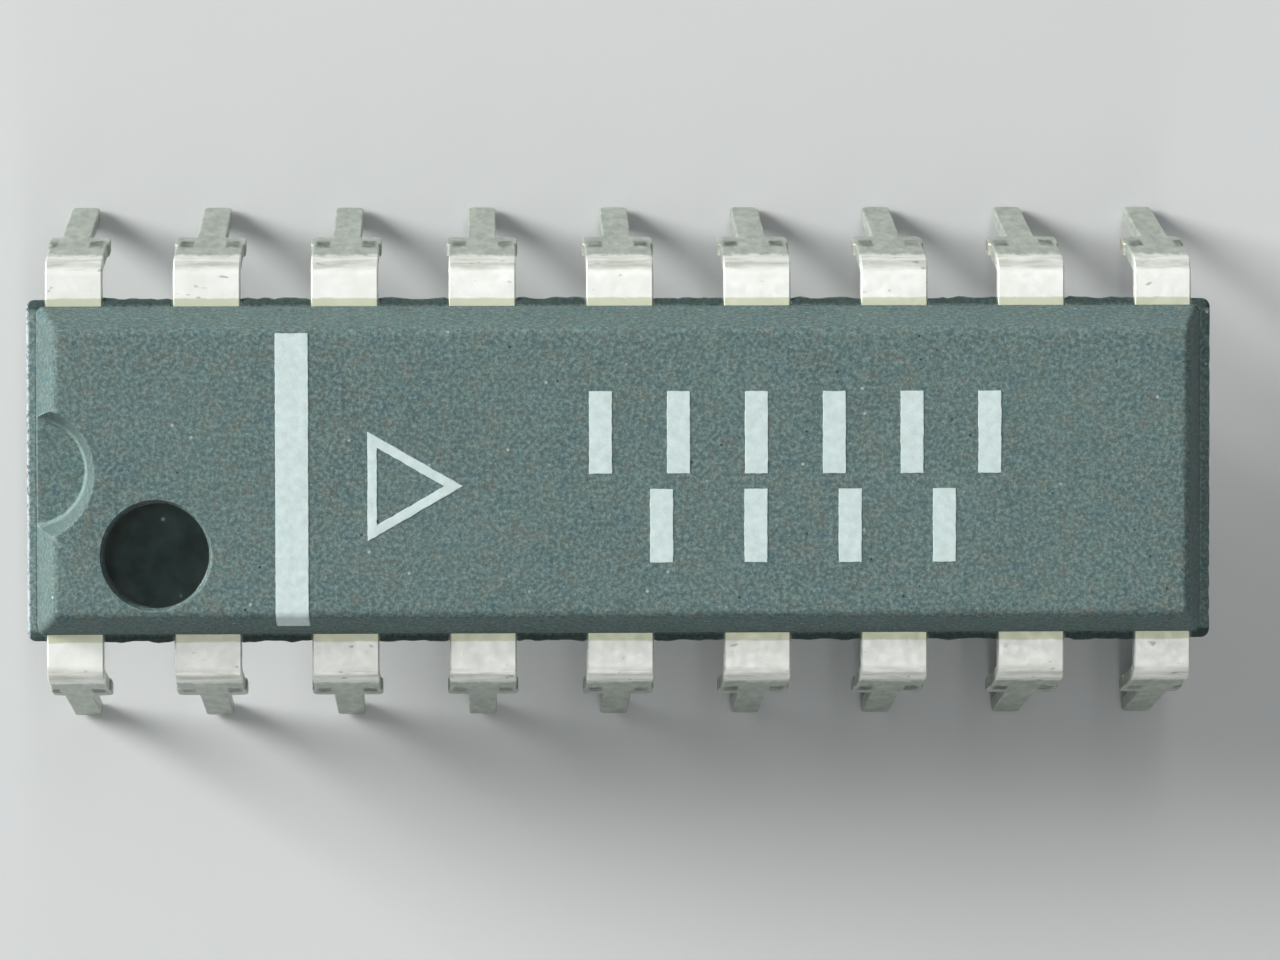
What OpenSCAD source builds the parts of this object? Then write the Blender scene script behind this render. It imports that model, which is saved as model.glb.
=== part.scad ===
/* [Lead pattern] */
// Distance between neighbouring leads in a row
pitch = 2.54; // [2.4:0.02:2.7]
// Distance between the two rows once the legs are pressed upright
row_spacing = 7.62; // [7.5:0.02:8.1]
// Outward lean of the legs before the chip is fitted, in degrees
splay = 12; // [0:1:15]
// Gap under the body when the lead shoulders rest on a board
standoff = 0.5; // [0.25:0.01:0.8]
// Length of the narrow leg tips below the shoulders
tip_len = 2.85; // [2.6:0.05:3.9]

/* [Leads] */
// Thickness of the sheet metal that the leads are stamped from
lead_t = 0.25; // [0.2:0.01:0.3]
// Width of a lead where it leaves the body
lead_w = 1.24; // [1.1:0.02:1.4]
// Width cut off the outer side of the four corner leads
corner_trim = 0.19; // [0:0.01:0.35]
// Width of the narrow leg tips
tip_w = 0.53; // [0.4:0.01:0.6]
// Rounding at the end of each leg tip
tip_r = 0.12; // [0.03:0.01:0.18]
// Inner radius of the bend at the shoulder
bend_r = 0.1; // [0.06:0.01:0.3]
// How far the cut dam bar stands out from each side of a leg
stub_out = 0.04; // [0.02:0.005:0.12]
// Height of the dam bar stub above the shoulder's lower edge
stub_len = 0.65; // [0.3:0.05:0.7]
// Rounding of the shoulder's lower corners
shoulder_r = 0.14; // [0.05:0.01:0.2]

/* [Body] */
// Body beyond the centre of the last lead, at each end
end_overhang = 0.79; // [0.7:0.01:1]
// Width of the body at its parting line
body_w = 6.3; // [6:0.02:6.5]
// Height of the upper half above the parting line
upper_h = 1.65; // [1.4:0.05:2]
// Depth of the lower half below the parting line
lower_h = 1.6; // [1.2:0.05:1.9]
// Step in from the parting line to the upper half, on the long sides
ledge_side = 0.11; // [0.06:0.01:0.2]
// Step in from the parting line to the upper half, at the ends
ledge_end = 0.18; // [0.06:0.01:0.3]
// Slope of the upper half, as how far its sides lean in
upper_draft = 0.4; // [0.2:0.01:0.6]
// Slope of the lower half, as how far its sides lean in
lower_draft = 0.33; // [0.15:0.01:0.5]
// Rounding of the long edges around the flat faces
edge_r = 0.12; // [0.04:0.01:0.14]
// Resin squeezed out between the leads, beyond the body's side
flash_out = 0.05; // [0.02:0.01:0.12]
// Thickness of that squeezed resin
flash_t = 0.18; // [0.06:0.01:0.19]

/* [Notch and moulded marks] */
// Radius of the end notch at the top face
notch_top_r = 1.24; // [1:0.01:1.6]
// Radius of the end notch at its floor
notch_floor_r = 1; // [0.7:0.01:1.2]
// Height of the notch floor above the parting line
notch_floor_h = 0.1; // [0.05:0.01:0.6]
// Distance of the notch's axis from the end of the body
notch_in = 0.11; // [0:0.005:0.3]
// Diameter of the dimple that marks the first lead
dimple_d = 1.93; // [1.2:0.01:2.1]
// Depth of the dimple
dimple_depth = 0.15; // [0.05:0.01:0.3]
// Distance of the dimple's centre from the notched end
dimple_from_end = 2.47; // [2.3:0.01:3]
// Distance of the dimple's centre from the centre line
dimple_aside = 1.49; // [1.3:0.01:1.55]
// Diameter of the two ejector marks in the underside
ejector_d = 1.6; // [1:0.05:2.2]
// Depth of the ejector marks
ejector_depth = 0.08; // [0.03:0.01:0.12]
// Distance of the ejector marks from the ends of the body
ejector_from_end = 3; // [2.2:0.05:4]

/* [Printed ink] */
// Thickness of the ink
ink_t = 0.02; // [0.01:0.005:0.03]
// Width of the stripe across the body
stripe_w = 0.6; // [0.3:0.02:0.8]
// Distance of the stripe's middle from the notched end
stripe_from_end = 4.94; // [4.5:0.01:5.2]
// How far the stripe runs down the sloping side
stripe_drop = 0.75; // [0.3:0.05:1.1]
// Side of the printed triangle
triangle_side = 2; // [1.2:0.05:2.2]
// Stroke of the printed triangle
triangle_stroke = 0.17; // [0.1:0.01:0.25]
// Width of a printed bar
bar_w = 0.42; // [0.2:0.02:0.7]
// Height of the bars in the long row
long_row_h = 1.5; // [1.1:0.02:1.6]
// Spacing of the bars in the long row
long_row_pitch = 1.42; // [1.1:0.02:1.5]
// Height of the bars in the short row
short_row_h = 1.34; // [1:0.02:1.4]
// Spacing of the bars in the short row
short_row_pitch = 1.72; // [1.2:0.02:1.8]

/* [Frame and die] */
// Length of the pad that carries the die
paddle_l = 4.4; // [3.8:0.05:5]
// Width of the pad that carries the die
paddle_w = 3.2; // [2.8:0.05:3.5]
// How far the pad is pressed below the leads
paddle_drop = 0.35; // [0.3:0.01:0.5]
// Width of the bars that tie the pad to the ends
tie_w = 0.4; // [0.3:0.01:0.5]
// Length over which a tie bar steps down to the pad
tie_step = 0.5; // [0.3:0.05:0.8]
// How far the ends of the tie bars are thinned, so that the resin covers them
tie_thin = 0.08; // [0.04:0.01:0.15]
// Length over which the end of a tie bar is thinned
tie_thin_len = 0.5; // [0.3:0.05:0.8]
// Width of a lead's inner finger
finger_w = 0.35; // [0.25:0.01:0.38]
// Clearance between fingers, and between fingers and the pad
finger_gap = 0.2; // [0.15:0.01:0.22]
// Length of a lead's wide root inside the body
root_len = 0.77; // [0.7:0.01:0.8]
// Diameter of the hole that locks a lead in the resin
lock_d = 0.4; // [0.3:0.01:0.5]
// Length of the die
die_l = 2.6; // [2:0.05:3]
// Width of the die
die_w = 2; // [1.8:0.05:2.4]
// Thickness of the die
die_t = 0.3; // [0.2:0.01:0.4]
// Thickness of the adhesive under the die
attach_t = 0.03; // [0.02:0.005:0.05]
// How far the adhesive spreads past the die
attach_out = 0.06; // [0.02:0.01:0.12]
// Diameter of a bond wire
wire_d = 0.03; // [0.025:0.005:0.04]
// Arc that a bond wire is looped through, in degrees
wire_arc = 110; // [90:5:130]
// Diameter of the ball and the stitch at a wire's ends
bond_d = 0.09; // [0.08:0.005:0.12]
// Height of the ball and the stitch at a wire's ends
bond_h = 0.03; // [0.025:0.005:0.04]
// Distance of the bonds from the edge of the die
bond_in = 0.12; // [0.1:0.01:0.2]
// Spacing of the bonds along the end of the die
bond_pitch = 0.28; // [0.2:0.01:0.3]
// Spacing of the bonds along the side of the die
side_bond_pitch = 0.7; // [0.5:0.05:0.8]
// Distance of the stitch from the end of its finger
stitch_in = 0.2; // [0.12:0.01:0.3]

/* [Hidden] */
leads_per_row = 9;
lead_count = 2 * leads_per_row;
last_k = (leads_per_row - 1) / 2;
long_row_bars = 6;
short_row_bars = 4;
arc_steps = 5;
// How far a cut runs past the face that it opens
over = 0.5;

// Centres of the printed marks, measured from the notched end and the centre line
triangle_at = [7.18, -0.24];
long_row_at = [14.1, 0.73];
short_row_at = [14.24, -0.97];

body_l = (leads_per_row - 1) * pitch + 2 * end_overhang;
seat_z = tip_len;
base_z = seat_z + standoff;
parting_z = base_z + lower_h;
top_z = parting_z + upper_h;

upper_l = body_l - 2 * ledge_end;
upper_w = body_w - 2 * ledge_side;
notch_x = -body_l / 2 + notch_in;
dimple_x = -body_l / 2 + dimple_from_end;
stripe_x = -body_l / 2 + stripe_from_end;
ejector_x = body_l / 2 - ejector_from_end;

bend_out_r = bend_r + lead_t;
bend_y = row_spacing / 2 + lead_t / 2 - bend_out_r;
leg_z = parting_z - bend_out_r * (1 - sin(splay));
shoulder_v = (leg_z - seat_z) / cos(splay);
tip_v = (leg_z - lead_t * sin(splay)) / cos(splay);

root_y = body_w / 2 - root_len;
finger_end_y = paddle_w / 2 + finger_gap;
finger_end_x = paddle_l / 2 + finger_gap;
die_z = parting_z - paddle_drop + attach_t;
die_top_z = die_z + die_t;

// Leads are numbered from the dimple along the near row, then back along the far row
function side_of(n) = n <= leads_per_row ? -1 : 1;
function place_of(n) = n <= leads_per_row ? n - 1 - last_k : lead_count - n - last_k;
function half_of(n) = place_of(n) < 0 ? -1 : 1;
function k_of(n) = abs(place_of(n));

function arc(centre, r, from, to) = [
  for (i = [0:arc_steps])
    let (a = from + (to - from) * i / arc_steps)
      [centre[0] + r * cos(a), centre[1] + r * sin(a)]
];

function flipped(points) = [for (i = [len(points) - 1:-1:0]) [-points[i][0], points[i][1]]];

// Outline of a moulded half seen from one end: its foot, its sloping sides and its rounded edges
function half_section(foot, draft, h, r, root) =
  let (
    lean = atan(draft / h),
    inset = r * tan((90 - lean) / 2),
    side = concat(
      [[foot / 2, -root], [foot / 2, 0]],
      arc([foot / 2 - draft - inset, h - r], r, lean, 90)
    )
  )
  concat(side, flipped(side));

// The same outline, drawn in by a skin of thickness t on its slopes and its flat
function skin_section(foot, draft, h, r, t, root) =
  half_section(foot - 2 * t / cos(atan(draft / h)), draft * (h - t) / h, h - t, r - t, root);

// A strip of width w along a path, with mitred corners
function unit(v) = v / norm(v);
function normal(p, q) = let (d = unit(q - p)) [-d[1], d[0]];
function mitre(path, i) =
  let (
    last = len(path) - 1,
    a = normal(path[max(i - 1, 0)], path[max(i, 1)]),
    b = normal(path[min(i, last - 1)], path[min(i + 1, last)])
  )
  (a + b) / (1 + a * b);
function strip(path, w) = concat(
  [for (i = [0:len(path) - 1]) path[i] + mitre(path, i) * w / 2],
  [for (i = [len(path) - 1:-1:0]) path[i] - mitre(path, i) * w / 2]
);

// Height above the centre line at which finger k runs along the tie bar
function lane_y(k) = tie_w / 2 + finger_gap + finger_w / 2 + (last_k - k) * (finger_w + finger_gap);

// Route of finger k, seen in the quarter of the body where both coordinates are positive
function finger_path(k) =
  let (x = k * pitch, start = root_y + finger_w / 2)
  k == 0 ? [[0, start], [0, finger_end_y]] :
  k == 1 ? [[x, start], [x - (start - finger_end_y), finger_end_y]] :
  [[x, start], [x - (start - lane_y(k)), lane_y(k)], [finger_end_x, lane_y(k)]];

function finger_tip(k) = let (p = finger_path(k)) p[len(p) - 1];
function finger_back(k) = let (p = finger_path(k)) unit(p[len(p) - 2] - p[len(p) - 1]);
function stitch_at(k) = finger_tip(k) + finger_back(k) * stitch_in;
function ball_at(k) =
  k <= 1 ? [k * side_bond_pitch, die_w / 2 - bond_in] :
  [die_l / 2 - bond_in, (last_k - k + 0.5) * bond_pitch];

module to_quarter(n) {
  mirror([half_of(n) < 0 ? 1 : 0, 0, 0])
    mirror([0, side_of(n) < 0 ? 1 : 0, 0])
      children();
}

module moulded_half(l, w, draft, h, root) {
  intersection() {
    translate([-l, 0, 0])
      rotate([90, 0, 90])
        linear_extrude(2 * l) polygon(half_section(w, draft, h, edge_r, root));
    translate([0, w, 0])
      rotate([90, 0, 0])
        linear_extrude(2 * w) polygon(half_section(l, draft, h, edge_r, root));
  }
}

module parting_band() {
  translate([-body_l / 2, -body_w / 2, parting_z - lead_t])
    cube([body_l, body_w, lead_t]);
}

module resin_flash() {
  flash_l = 2 * last_k * pitch;
  flash_w = body_w + 2 * flash_out;
  translate([-flash_l / 2, -flash_w / 2, parting_z - flash_t - (lead_t - flash_t) / 2])
    cube([flash_l, flash_w, flash_t]);
}

// A cone on its side of the end, open towards the end face
module end_notch() {
  h = upper_h - notch_floor_h;
  flare = (notch_top_r - notch_floor_r) / h;
  translate([notch_x, 0, parting_z + notch_floor_h])
    cylinder(h = h + over, r1 = notch_floor_r, r2 = notch_floor_r + flare * (h + over), $fn = 72);
}

module first_lead_dimple() {
  wall_lean = 0.3;
  floor_r = dimple_d / 2 - dimple_depth * wall_lean;
  translate([dimple_x, -dimple_aside, top_z - dimple_depth])
    cylinder(
      h = dimple_depth + over,
      r1 = floor_r,
      r2 = floor_r + (dimple_depth + over) * wall_lean,
      $fn = 72
    );
}

module ejector_marks() {
  for (end = [-1, 1])
    translate([end * ejector_x, 0, base_z - over])
      cylinder(h = over + ejector_depth, d = ejector_d, $fn = 60);
}

module frame_and_die() {
  for (n = [1:lead_count]) {
    lead_shape(n);
    bond_wire_shape(n);
  }
  die_pad();
  die_adhesive();
  silicon_die();
}

module moulded_body() {
  color("#636b6b")
    difference() {
      union() {
        parting_band();
        resin_flash();
        translate([0, 0, parting_z])
          moulded_half(upper_l, upper_w, upper_draft, upper_h, lead_t / 2);
        translate([0, 0, parting_z - lead_t])
          rotate([180, 0, 0])
            moulded_half(body_l, body_w, lower_draft, lower_h - lead_t, 0);
      }
      end_notch();
      first_lead_dimple();
      ejector_marks();
      frame_and_die();
      index_stripe();
      printed_marks();
    }
}

// The flat part of a lead: its wide root with the locking hole, and the finger that runs to the die
module lead_flat(n) {
  k = k_of(n);
  outer = lead_w / 2 - (k == last_k ? corner_trim : 0);
  to_quarter(n)
    translate([0, 0, parting_z - lead_t])
      linear_extrude(lead_t)
        difference() {
          union() {
            translate([k * pitch - lead_w / 2, root_y])
              square([lead_w / 2 + outer, bend_y - root_y]);
            polygon(strip(finger_path(k), finger_w));
          }
          translate([k * pitch + (outer - lead_w / 2) / 2, body_w / 2 - root_len / 2])
            circle(d = lock_d, $fn = 32);
        }
}

module lead_bend(k, outer) {
  translate([k * pitch, bend_y, parting_z - bend_out_r])
    rotate([0, -90, 0])
      rotate_extrude(angle = 90 - splay, $fn = 96)
        translate([bend_r, -outer])
          square([lead_t, lead_w / 2 + outer]);
}

// One side of a leg's outline, from the bend down: the stub of the dam bar, the shoulder and the tip
function leg_side(w) = concat(
  [[w, 0], [w, shoulder_v - stub_len], [w + stub_out, shoulder_v - stub_len + stub_out]],
  arc([w + stub_out - shoulder_r, shoulder_v - shoulder_r], shoulder_r, 0, 90),
  [[tip_w / 2, shoulder_v]],
  arc([tip_w / 2 - tip_r, tip_v - tip_r], tip_r, 0, 90)
);

module lead_leg(k, outer) {
  translate([k * pitch, bend_y + bend_r * cos(splay), parting_z - bend_out_r + bend_r * sin(splay)])
    rotate([splay - 90, 0, 0])
      linear_extrude(lead_t)
        polygon(concat(leg_side(outer), flipped(leg_side(lead_w / 2))));
}

module lead_shape(n) {
  k = k_of(n);
  outer = lead_w / 2 - (k == last_k ? corner_trim : 0);
  lead_flat(n);
  to_quarter(n) {
    lead_bend(k, outer);
    lead_leg(k, outer);
  }
}

module lead(n) {
  color("#dcdcd6") lead_shape(n);
}

// The pad and its two tie bars, which step up to the leads' level and end flush with the body's ends
module die_pad() {
  pad_top = parting_z - paddle_drop;
  step_in = paddle_l / 2 + finger_gap;
  step_out = step_in + tie_step;
  thin_x = body_l / 2 - tie_thin_len;
  one_end = [
    [step_in, pad_top], [step_out, parting_z], [thin_x - tie_thin, parting_z],
    [thin_x, parting_z - tie_thin], [body_l / 2, parting_z - tie_thin],
    [body_l / 2, parting_z - lead_t], [step_out, parting_z - lead_t], [step_in, pad_top - lead_t]
  ];
  color("#c08a5a") {
    translate([0, tie_w / 2, 0])
      rotate([90, 0, 0])
        linear_extrude(tie_w) polygon(concat(one_end, flipped(one_end)));
    translate([-paddle_l / 2, -paddle_w / 2, pad_top - lead_t])
      cube([paddle_l, paddle_w, lead_t]);
  }
}

module die_adhesive() {
  l = die_l + 2 * attach_out;
  w = die_w + 2 * attach_out;
  color("#b9b9b4")
    translate([-l / 2, -w / 2, die_z - attach_t])
      cube([l, w, attach_t]);
}

module silicon_die() {
  color("#54606e")
    translate([-die_l / 2, -die_w / 2, die_z])
      cube([die_l, die_w, die_t]);
}

// A wire looped through an arc from its ball on the die to its stitch on the finger
module bond_wire_shape(n) {
  k = k_of(n);
  ball = concat(ball_at(k), [die_top_z + bond_h / 2]);
  stitch = concat(stitch_at(k), [parting_z + bond_h / 2]);
  chord = stitch - ball;
  level = norm([chord[0], chord[1]]);
  loop_r = norm(chord) / 2 / sin(wire_arc / 2);
  to_quarter(n) {
    translate(ball)
      rotate([0, -atan2(chord[2], level), atan2(chord[1], chord[0])])
        translate([norm(chord) / 2, 0, -loop_r * cos(wire_arc / 2)])
          rotate([90, 0, 0])
            rotate([0, 0, 90 - wire_arc / 2])
              rotate_extrude(angle = wire_arc, $fn = 60)
                translate([loop_r, 0]) circle(d = wire_d, $fn = 16);
    for (end = [ball, stitch])
      translate([end[0], end[1], end[2] - bond_h / 2])
        cylinder(h = bond_h, d = bond_d, $fn = 24);
  }
}

module bond_wire(n) {
  color("#e0b04a") bond_wire_shape(n);
}

// The stripe lies over the flat and runs over the near edge, a little way down the slope
module index_stripe() {
  lean = atan(upper_draft / upper_h);
  far_end = upper_w / 2 - upper_draft - edge_r * tan((90 - lean) / 2);
  color("#c9d1cd")
    translate([stripe_x - stripe_w / 2, 0, parting_z])
      rotate([90, 0, 90])
        linear_extrude(stripe_w)
          intersection() {
            difference() {
              polygon(half_section(upper_w, upper_draft, upper_h, edge_r, 0));
              polygon(skin_section(upper_w, upper_draft, upper_h, edge_r, ink_t, over));
            }
            translate([-upper_w, upper_h - stripe_drop])
              square([upper_w + far_end, stripe_drop + over]);
          }
}

module bar_row(at, count, spacing, h) {
  for (i = [0:count - 1])
    translate([at[0] + (i - (count - 1) / 2) * spacing - bar_w / 2, at[1] - h / 2])
      square([bar_w, h]);
}

function triangle(r) = [for (a = [0, 120, 240]) r * [cos(a), sin(a)]];

// Plain shapes in ink: a triangle drawn as an outline, and two rows of bars
module printed_marks() {
  corner_r = triangle_side / sqrt(3);
  color("#c9d1cd")
    translate([-body_l / 2, 0, top_z - ink_t])
      linear_extrude(ink_t) {
        translate([triangle_at[0] - corner_r / 4, triangle_at[1]])
          difference() {
            polygon(triangle(corner_r));
            polygon(triangle(corner_r - 2 * triangle_stroke));
          }
        bar_row(long_row_at, long_row_bars, long_row_pitch, long_row_h);
        bar_row(short_row_at, short_row_bars, short_row_pitch, short_row_h);
      }
}

moulded_body();
for (n = [1:lead_count]) {
  lead(n);
  bond_wire(n);
}
die_pad();
die_adhesive();
silicon_die();
index_stripe();
printed_marks();
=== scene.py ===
"""Looks of a plastic dual in-line chip with two rows of tinned leads, made around its CAD model."""
import math

import bpy
from mathutils import Matrix, Vector, noise


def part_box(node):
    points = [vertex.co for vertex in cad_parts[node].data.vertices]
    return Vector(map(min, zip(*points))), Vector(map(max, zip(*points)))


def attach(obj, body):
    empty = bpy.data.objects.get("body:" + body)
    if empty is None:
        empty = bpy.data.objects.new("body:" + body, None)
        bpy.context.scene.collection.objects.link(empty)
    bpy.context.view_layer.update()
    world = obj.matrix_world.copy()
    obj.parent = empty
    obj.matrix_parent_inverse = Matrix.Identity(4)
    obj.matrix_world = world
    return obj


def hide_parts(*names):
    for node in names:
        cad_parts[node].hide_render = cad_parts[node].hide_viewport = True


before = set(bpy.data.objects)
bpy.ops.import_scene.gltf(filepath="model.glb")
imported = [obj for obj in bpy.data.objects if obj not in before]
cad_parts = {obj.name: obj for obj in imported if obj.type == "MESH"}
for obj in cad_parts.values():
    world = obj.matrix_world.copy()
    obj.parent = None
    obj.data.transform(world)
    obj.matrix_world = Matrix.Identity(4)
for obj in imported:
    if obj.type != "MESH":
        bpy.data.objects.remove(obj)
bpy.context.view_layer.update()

# Lengths are in millimetres while a piece is made, and its mesh is brought to metres at the end
MM = 0.001


def box_mm(node):
    low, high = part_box(node)
    return Vector(low) / MM, Vector(high) / MM


# Sizes that the frame gives
body_low, body_high = box_mm("moulded_body")
half_l = body_high.x
base_z = body_low.z
top_z = body_high.z
parting_z = box_mm("lead_1")[1].z
pitch = box_mm("lead_7")[1].x - box_mm("lead_6")[1].x
stripe_low, stripe_high = box_mm("index_stripe")

# Body
half_w = 3.15
band_h = 0.25
ledge_side = 0.11
ledge_end = 0.18
upper_draft = 0.4
lower_draft = 0.33
edge_r = 0.17
plan_corner_r = 0.16
flash_out = 0.045
end_wear = 0.05
tie_w = 0.4
tie_thin = 0.08
notch_x = -half_l + 0.11
notch_top_r = 1.24
notch_floor_r = 1.0
notch_floor_h = 0.1
dimple_at = (-half_l + 2.47, -1.49)
dimple_r = 0.965
dimple_flare = 0.05
dimple_floor_r = dimple_r - 0.005
dimple_depth = 0.15
ejector_x = half_l - 3
ejector_r = 0.8
ejector_depth = 0.08

# Leads
leads_per_row = 9
last_k = (leads_per_row - 1) // 2
sheet = 0.25
lead_w = 1.24
corner_trim = 0.19
root_y = half_w - 0.77
bend_y = 3.585
bend_out_r = 0.35
lean = math.radians(12)
stub_out = 0.04
stub_len = 0.65
shoulder_r = 0.14
seat_z = 2.85
tip_w = 0.53
tip_r = 0.12
finger_w = 0.35
finger_end = Vector((2.4, 1.8))
first_lane_y = 0.575
lane_step = 0.55
die_roll = 0.035
burr_side = 0.02

# Ink
ink_proud = 0.012
ink_deep = 0.03


def linear(hex_colour):
    """An sRGB colour such as #8090a0 as the linear values that shaders take."""
    channels = [int(hex_colour[i:i + 2], 16) / 255 for i in (1, 3, 5)]
    return [c / 12.92 if c <= 0.04045 else ((c + 0.055) / 1.055) ** 2.4 for c in channels] + [1]


def add(tree, kind, inputs=(), **settings):
    """Adds a node, sets it, and fills its inputs with values or links."""
    node = tree.nodes.new(kind)
    for name, value in settings.items():
        setattr(node, name, value)
    for key, value in dict(inputs).items():
        if isinstance(value, bpy.types.NodeSocket):
            tree.links.new(value, node.inputs[key])
        else:
            node.inputs[key].default_value = value
    return node


def per_mm(size):
    """Scale of a pattern whose features are that many millimetres wide, on coordinates in metres."""
    return 1 / (size * MM)


def link_object(name, mesh):
    obj = bpy.data.objects.new(name, mesh)
    bpy.context.scene.collection.objects.link(obj)
    return obj


def baked(obj):
    """The object's mesh with its modifiers applied, in place of the object."""
    bpy.context.view_layer.update()
    found = obj.evaluated_get(bpy.context.evaluated_depsgraph_get())
    mesh = bpy.data.meshes.new_from_object(found)
    bpy.data.objects.remove(obj)
    return mesh


def finish_piece(name, mesh, nodes, smooth_below=32):
    """Shades a finished mesh, brings it to metres, and puts it in the place of its CAD nodes."""
    for polygon in mesh.polygons:
        polygon.use_smooth = True
    mesh.set_sharp_from_angle(angle=math.radians(smooth_below))
    shaded = link_object(name, mesh)
    weighted = shaded.modifiers.new("normals", "WEIGHTED_NORMAL")
    weighted.keep_sharp = True
    mesh = baked(shaded)
    mesh.transform(Matrix.Scale(MM, 4))
    mesh.name = name
    piece = link_object(name, mesh)
    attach(piece, "root")
    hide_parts(*nodes)
    return piece


# Surface patterns that the materials share

def noise_at(tree, size, detail=2.0, stretch=(1, 1, 1), offset=0.0):
    """Noise with features of that size in millimetres, on the piece's own coordinates."""
    place = add(tree, "ShaderNodeTexCoord").outputs["Object"]
    mapped = add(tree, "ShaderNodeMapping", {"Vector": place, "Location": (offset, offset, 0), "Scale": stretch})
    return add(tree, "ShaderNodeTexNoise", {
        "Vector": mapped.outputs[0], "Scale": per_mm(size), "Detail": detail, "Roughness": 0.6,
    }).outputs["Fac"]


def specks(tree, spacing, size, share, offset=0.0):
    """Mask of small round specks, one in some of the cells of a random pattern."""
    place = add(tree, "ShaderNodeTexCoord").outputs["Object"]
    mapped = add(tree, "ShaderNodeMapping", {"Vector": place, "Location": (offset, 0, 0)}).outputs[0]
    cells = add(tree, "ShaderNodeTexVoronoi", {"Vector": mapped, "Scale": per_mm(spacing)})
    near = add(tree, "ShaderNodeMapRange", {
        "Value": cells.outputs["Distance"], "From Min": 0.7 * size / spacing, "From Max": 0.3 * size / spacing,
    })
    chosen = add(tree, "ShaderNodeSeparateColor", {"Color": cells.outputs["Color"]})
    kept = add(tree, "ShaderNodeMath", {0: chosen.outputs["Red"], 1: share}, operation="LESS_THAN")
    return add(tree, "ShaderNodeMath", {0: near.outputs[0], 1: kept.outputs[0]}, operation="MULTIPLY").outputs[0]


def edge_mask(tree, radius):
    """Where the surface turns over an edge, told by how far a rounded normal leaves the true one."""
    rounded_normal = add(tree, "ShaderNodeBevel", {"Radius": radius * MM}, samples=6).outputs[0]
    true_normal = add(tree, "ShaderNodeNewGeometry").outputs["Normal"]
    same = add(tree, "ShaderNodeVectorMath", {0: rounded_normal, 1: true_normal}, operation="DOT_PRODUCT")
    return add(tree, "ShaderNodeMapRange", {
        "Value": same.outputs["Value"], "From Min": 0.985, "From Max": 0.85,
    }).outputs[0]


def own_place(tree):
    """The piece's own coordinates in millimetres: the place, its x, how far it is to either side, and its z."""
    metres = add(tree, "ShaderNodeTexCoord").outputs["Object"]
    place = add(tree, "ShaderNodeVectorMath", {0: metres, "Scale": 1 / MM}, operation="SCALE").outputs[0]
    x, y, z = add(tree, "ShaderNodeSeparateXYZ", {0: place}).outputs
    aside = add(tree, "ShaderNodeMath", {0: y}, operation="ABSOLUTE").outputs[0]
    return place, x, aside, z


def where(tree, *limits):
    """The part of a surface that lies past every limit. A limit is a value, where its part starts and where it is
    full, and the least and the most that it gives where these aren't 0 and 1."""
    share = 1.0
    for value, start, full, *given in limits:
        least, most = given or (0.0, 1.0)
        within = add(tree, "ShaderNodeMapRange", {
            "Value": value, "From Min": start, "From Max": full, "To Min": least, "To Max": most})
        share = add(tree, "ShaderNodeMath", {0: share, 1: within.outputs[0]}, operation="MULTIPLY").outputs[0]
    return share


def wavering(tree, length, pattern, low, high, reach):
    """A length in millimetres that a pattern shifts by up to that much, so that what ends there ends unevenly."""
    shift = add(tree, "ShaderNodeMapRange", {
        "Value": pattern, "From Min": low, "From Max": high, "To Min": -reach, "To Max": reach})
    return add(tree, "ShaderNodeMath", {0: length, 1: shift.outputs[0]}, operation="ADD").outputs[0]


def painted(tree, under, over, pattern, start=0.0, full=1.0, most=1.0):
    """Lays one colour over another where a pattern lies past its limit. A colour is a hex value or a socket."""
    share = where(tree, (pattern, start, full, 0.0, most))
    lower, upper = [linear(colour) if isinstance(colour, str) else colour for colour in (under, over)]
    return add(tree, "ShaderNodeMix", {0: share, 6: lower, 7: upper}, data_type="RGBA").outputs[2]


def new_material(name):
    material = bpy.data.materials.new(name)
    material.use_nodes = True
    tree = material.node_tree
    return material, tree, tree.nodes["Principled BSDF"]


def surfaced(tree, shader, colour, pattern, smooth, rough, layers):
    """Puts on the shader its colour, a roughness that follows a pattern, and layers of bump. A layer is a height
    socket and its depth in millimetres."""
    tree.links.new(colour, shader.inputs["Base Color"])
    roughness = add(tree, "ShaderNodeMapRange", {
        "Value": pattern, "From Min": 0.3, "From Max": 0.7, "To Min": smooth, "To Max": rough})
    tree.links.new(roughness.outputs[0], shader.inputs["Roughness"])
    normal = {}
    for height, depth in layers:
        bump = add(tree, "ShaderNodeBump", {"Height": height, "Distance": depth * MM, **normal})
        normal = {"Normal": bump.outputs[0]}
    tree.links.new(normal["Normal"], shader.inputs["Normal"])


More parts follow.
